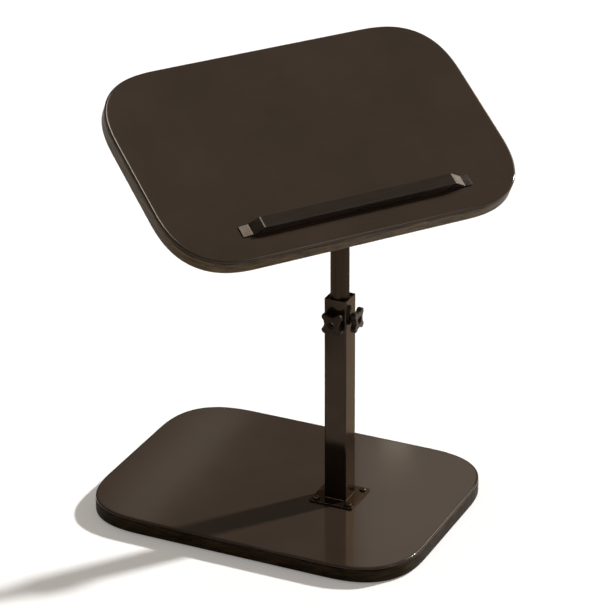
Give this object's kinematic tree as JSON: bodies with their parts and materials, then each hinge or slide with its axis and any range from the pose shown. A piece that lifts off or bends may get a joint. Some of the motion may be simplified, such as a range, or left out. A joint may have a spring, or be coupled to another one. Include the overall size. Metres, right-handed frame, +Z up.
{
  "type": "folding side table",
  "caption": "Side table with rounded dark boards, a top that swivels and tilts, a telescopic column with star-knob clamps, and a stop bar.",
  "frame": {"origin": "on the floor, under the column's axis", "axes": "+Z up; +X along the base's long side, towards the end that the column stands nearer to; -Y is the front, where one clamp knob faces"},
  "size_m": [0.6762, 0.6537, 0.8131],
  "materials": {
    "deck": "dark brown laminated board, satin",
    "band": "dark brown plastic edge band, satin",
    "core": "raw fibreboard with dark foil underneath",
    "rubber": "thin non-slip sheet",
    "coated_steel": "black powder coat, satin",
    "zinc_steel": "zinc plated",
    "black_screw": "black oxide, glossy",
    "brass": "plain threaded insert",
    "nylon": "black nylon",
    "knob": "black moulded plastic, fine grain",
    "bar": "black moulded plastic, satin"
  },
  "bodies": {
    "base": {"base_nonslip_sheet": "rubber", "base_core": "core", "base_edge_band": "band", "base_deck": "deck", "column_flange": "coated_steel", "outer_column": "coated_steel", "flange_screw_1": "black_screw", "flange_screw_2": "black_screw", "flange_screw_3": "black_screw", "flange_screw_4": "black_screw", "flange_insert_1": "brass", "flange_insert_2": "brass", "flange_insert_3": "brass", "flange_insert_4": "brass", "upper_guide_sleeve": "nylon", "front_weld_nut": "coated_steel", "right_weld_nut": "coated_steel"},
    "slide_bush": {"lower_guide_bush": "nylon"},
    "post": {"inner_post": "coated_steel", "post_end_plug": "nylon", "post_collar": "zinc_steel", "post_head": "coated_steel", "head_spacer": "zinc_steel"},
    "top": {"top_bracket": "coated_steel", "bracket_screw_1": "black_screw", "bracket_screw_2": "black_screw", "bracket_screw_3": "black_screw", "bracket_screw_4": "black_screw", "bracket_insert_1": "brass", "bracket_insert_2": "brass", "bracket_insert_3": "brass", "bracket_insert_4": "brass", "left_friction_washer": "nylon", "right_friction_washer": "nylon", "tilt_bolt": "zinc_steel", "top_core": "core", "top_edge_band": "band", "top_deck": "deck", "stop_bar": "bar", "bar_screw_1": "zinc_steel", "bar_screw_2": "zinc_steel"},
    "front_stud": {"front_clamp_stud": "black_screw", "front_clamp_tip": "nylon"},
    "front_knob": {"front_clamp_knob": "knob"},
    "right_stud": {"right_clamp_stud": "black_screw", "right_clamp_tip": "nylon"},
    "right_knob": {"right_clamp_knob": "knob"},
    "tilt_washer": {"tilt_clamp_washer": "zinc_steel"},
    "tilt_knob": {"tilt_clamp_knob": "knob"}
  },
  "joints": [
    {"name": "height", "type": "slide", "parent": "base", "child": "slide_bush", "axis": [0, 0, 1], "range_m": [-0.2, 0.06]},
    {"name": "swivel", "type": "hinge", "parent": "slide_bush", "child": "post", "pos_m": [0, 0, 0.257], "axis": [0, 0, 1], "continuous": true},
    {"name": "tilt", "type": "hinge", "parent": "post", "child": "top", "pos_m": [0, 0, 0.65], "axis": [0.5786, 0.8156, 0], "range_deg": [-29.4, 60.6]},
    {"name": "front_clamp_slide", "type": "slide", "parent": "base", "child": "front_stud", "axis": [0, -1, 0], "range_m": [0, 0.0025]},
    {"name": "front_clamp_turn", "type": "hinge", "parent": "front_stud", "child": "front_knob", "pos_m": [0, -0.03, 0.37], "axis": [0, -1, 0], "range_deg": [0, 720]},
    {"name": "right_clamp_slide", "type": "slide", "parent": "base", "child": "right_stud", "axis": [1, 0, 0], "range_m": [0, 0.0025]},
    {"name": "right_clamp_turn", "type": "hinge", "parent": "right_stud", "child": "right_knob", "pos_m": [0.03, 0, 0.37], "axis": [1, 0, 0], "range_deg": [0, 720]},
    {"name": "tilt_clamp_slide", "type": "slide", "parent": "top", "child": "tilt_washer", "axis": [0.5786, 0.8156, 0], "range_m": [0, 0.0025]},
    {"name": "tilt_clamp_turn", "type": "hinge", "parent": "tilt_washer", "child": "tilt_knob", "pos_m": [0, 0, 0.65], "axis": [0.5786, 0.8156, 0], "range_deg": [0, 720]}
  ],
  "couplings": [
    {"joint": "front_clamp_slide", "follows": "front_clamp_turn", "m_per_rad": 0.00019894},
    {"joint": "right_clamp_slide", "follows": "right_clamp_turn", "m_per_rad": 0.00019894},
    {"joint": "tilt_clamp_slide", "follows": "tilt_clamp_turn", "m_per_rad": 0.00019894}
  ]
}
